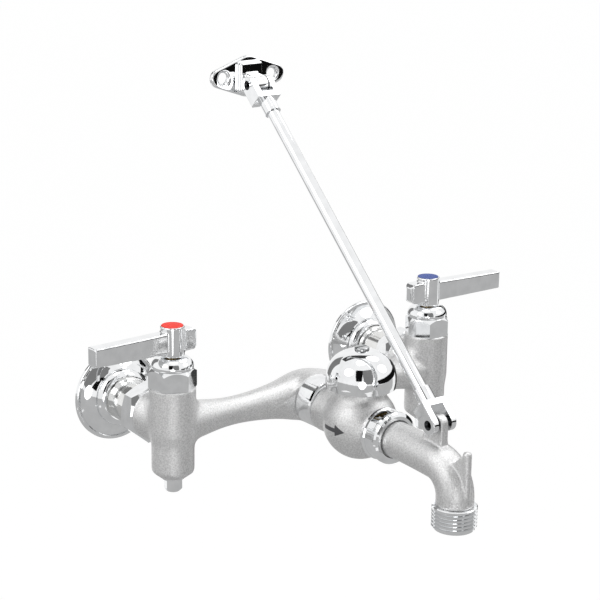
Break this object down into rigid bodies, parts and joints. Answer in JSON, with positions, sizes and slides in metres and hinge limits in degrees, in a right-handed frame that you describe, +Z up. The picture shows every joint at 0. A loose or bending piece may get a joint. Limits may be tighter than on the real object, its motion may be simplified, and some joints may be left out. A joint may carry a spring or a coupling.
{
  "type": "wall-mounted service sink faucet",
  "caption": "Wall-mounted two-handle service faucet with lever valves on a cast bridge, vacuum breaker, hose-threaded spout with pail hook, and a brace to the wall.",
  "frame": {"origin": "on the wall face, midway between the two supply inlets and at their height", "axes": "+X along the wall towards the cold side, +Y into the wall, +Z up; the spout points along -Y"},
  "size_m": [0.3206, 0.2285, 0.255],
  "materials": {
    "rough_plated_casting": "plated over a rough sand casting",
    "polished_chrome": "polished chrome plate",
    "plated_brass": "satin plate",
    "brass": "machined",
    "stainless_steel": "turned",
    "dark_steel": "dark rolled pin",
    "white_ceramic": "lapped",
    "black_rubber": "matte",
    "fibre": "pressed fibre",
    "white_plastic": "moulded",
    "red_index": "glossy disc",
    "blue_index": "glossy disc"
  },
  "bodies": {
    "faucet_body": {"body_casting": "rough_plated_casting", "outlet_ring": "polished_chrome", "hot_inlet_shank": "plated_brass", "hot_union_washer": "fibre", "hot_union_nut": "polished_chrome", "hot_wall_flange": "polished_chrome", "hot_stop_gland": "polished_chrome", "hot_cartridge_body": "brass", "hot_seat_seal": "black_rubber", "hot_fixed_disc": "white_ceramic", "hot_bonnet": "polished_chrome", "cold_inlet_shank": "plated_brass", "cold_union_washer": "fibre", "cold_union_nut": "polished_chrome", "cold_wall_flange": "polished_chrome", "cold_stop_gland": "polished_chrome", "cold_cartridge_body": "brass", "cold_seat_seal": "black_rubber", "cold_fixed_disc": "white_ceramic", "cold_bonnet": "polished_chrome", "breaker_body": "rough_plated_casting", "breaker_seat": "brass", "breaker_air_bonnet": "brass", "breaker_hood": "polished_chrome", "breaker_hood_screw": "stainless_steel", "coupling_nut": "polished_chrome", "spout_gasket": "black_rubber", "spout": "rough_plated_casting", "hose_end": "polished_chrome"},
    "hot_handle": {"hot_lever": "polished_chrome", "hot_lever_screw": "stainless_steel", "hot_index_button": "red_index", "hot_valve_stem": "brass", "hot_rotor_disc": "white_ceramic", "hot_stem_ring": "black_rubber"},
    "hot_stop": {"hot_stop_screw": "polished_chrome"},
    "cold_handle": {"cold_lever": "polished_chrome", "cold_lever_screw": "stainless_steel", "cold_index_button": "blue_index", "cold_valve_stem": "brass", "cold_rotor_disc": "white_ceramic", "cold_stem_ring": "black_rubber"},
    "cold_stop": {"cold_stop_screw": "polished_chrome"},
    "vent_float": {"breaker_float": "white_plastic", "breaker_float_pad": "black_rubber"},
    "brace": {"lower_clevis": "polished_chrome", "brace_rod": "polished_chrome", "upper_clevis": "polished_chrome", "lower_pin": "dark_steel", "upper_pin": "dark_steel"},
    "bracket": {"wall_bracket": "polished_chrome"}
  },
  "joints": [
    {"name": "hot_lever_turn", "type": "hinge", "parent": "faucet_body", "child": "hot_handle", "pos_m": [-0.1016, -0.068, 0.0438], "axis": [0, 0, 1], "range_deg": [0, 90]},
    {"name": "cold_lever_turn", "type": "hinge", "parent": "faucet_body", "child": "cold_handle", "pos_m": [0.1016, -0.068, 0.0438], "axis": [0, 0, 1], "range_deg": [-90, 0]},
    {"name": "hot_stop_turn", "type": "hinge", "parent": "faucet_body", "child": "hot_stop", "pos_m": [-0.1016, -0.068, -0.0346], "axis": [0, 0, 1], "range_deg": [0, 720]},
    {"name": "cold_stop_turn", "type": "hinge", "parent": "faucet_body", "child": "cold_stop", "pos_m": [0.1016, -0.068, -0.0346], "axis": [0, 0, 1], "range_deg": [0, 720]},
    {"name": "vent_float_lift", "type": "slide", "parent": "faucet_body", "child": "vent_float", "axis": [0, 0, 1], "range_m": [0, 0.0045]},
    {"name": "brace_swing", "type": "hinge", "parent": "faucet_body", "child": "brace", "pos_m": [0, -0.1987, 0.0184], "axis": [1, 0, 0], "range_deg": [-12, 110]},
    {"name": "bracket_swing", "type": "hinge", "parent": "brace", "child": "bracket", "pos_m": [0, -0.0135, 0.1935], "axis": [1, 0, 0], "range_deg": [-35, 45]}
  ]
}
